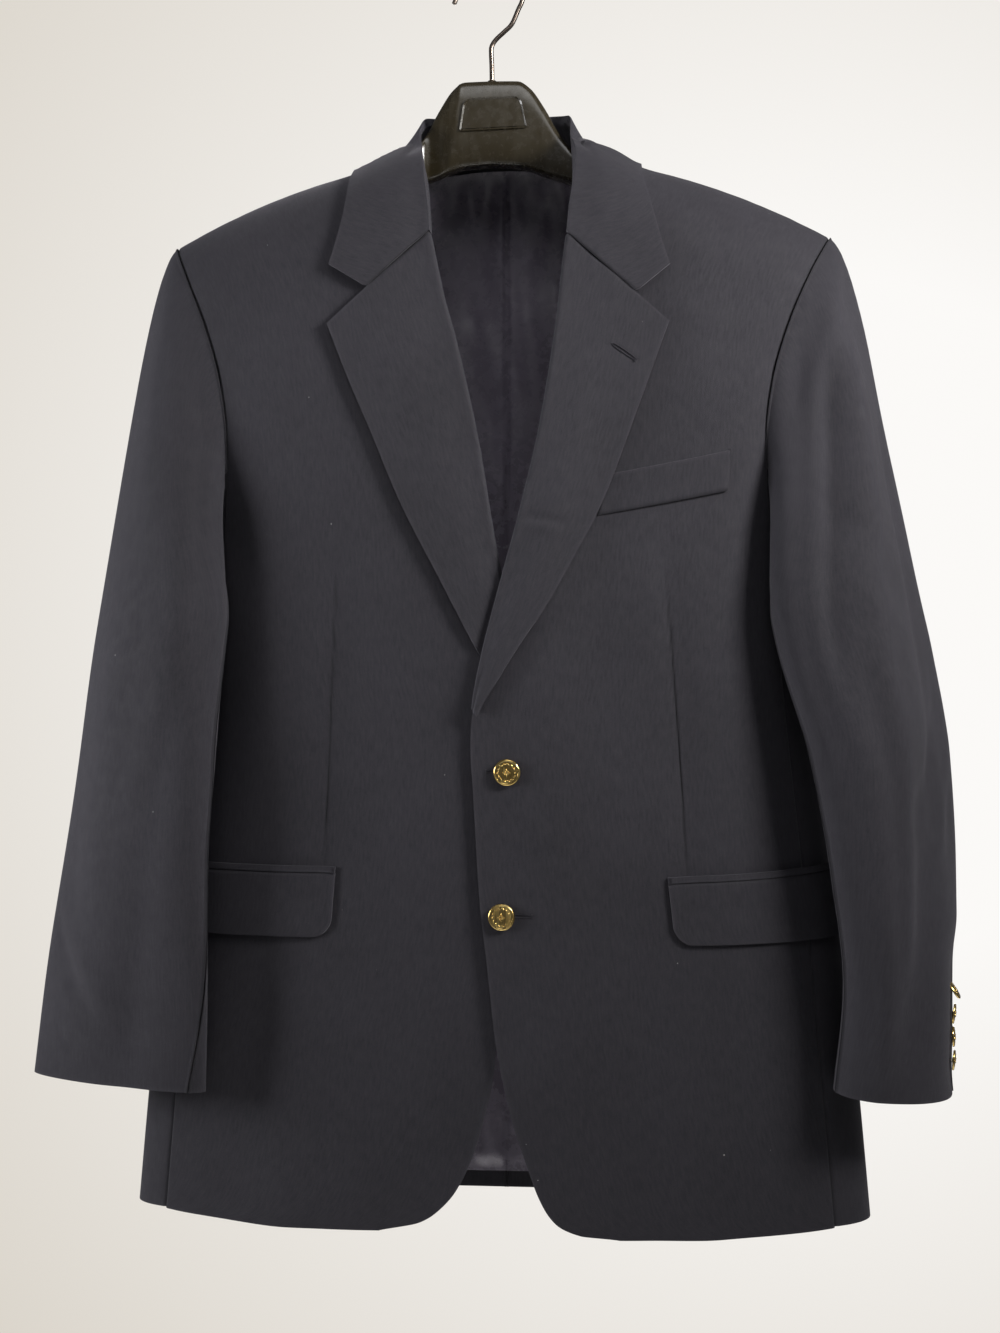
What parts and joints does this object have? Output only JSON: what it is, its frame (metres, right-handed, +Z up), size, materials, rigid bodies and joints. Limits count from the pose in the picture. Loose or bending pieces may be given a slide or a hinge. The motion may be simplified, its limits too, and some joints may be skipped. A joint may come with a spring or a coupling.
{
  "type": "blazer on a hanger",
  "caption": "Tailored single-breasted blazer with notch lapels, flap pockets and metal buttons, hung on a broad suit hanger by its hook.",
  "frame": {"origin": "inside top of the hanger's hook, where it rests on a rail", "axes": "+Z up, -Y the way the fronts face, +X towards the wearer's left sleeve; upright as it hangs"},
  "size_m": [0.6921, 0.1689, 0.9482],
  "materials": {
    "wool": "matt navy worsted wool with a fine weave",
    "wool_collar": "the same worsted wool on the collar and lapels",
    "lining": "dark satin lining with a soft sheen",
    "gilt": "polished gilt metal",
    "hanger_plastic": "glossy dark olive-brown plastic",
    "hook_steel": "dark drawn steel wire"
  },
  "bodies": {
    "root": {"front_left": "wool", "back_left": "wool", "side_left": "wool", "top_sleeve_left": "wool", "under_sleeve_left": "wool", "flap_left": "wool", "jet_left": "wool", "lapel_left": "wool_collar", "lining_back_left": "lining", "cuff_button_left_1": "gilt", "cuff_button_left_2": "gilt", "cuff_button_left_3": "gilt", "cuff_button_left_4": "gilt", "front_right": "wool", "back_right": "wool", "side_right": "wool", "top_sleeve_right": "wool", "under_sleeve_right": "wool", "flap_right": "wool", "jet_right": "wool", "lapel_right": "wool_collar", "lining_back_right": "lining", "cuff_button_right_1": "gilt", "cuff_button_right_2": "gilt", "cuff_button_right_3": "gilt", "cuff_button_right_4": "gilt", "collar": "wool_collar", "chest_welt": "wool", "front_button_upper": "gilt", "front_button_lower": "gilt", "hanger_body": "hanger_plastic", "hanger_plate": "hanger_plastic", "hanger_hook": "hook_steel"}
  },
  "joints": []
}
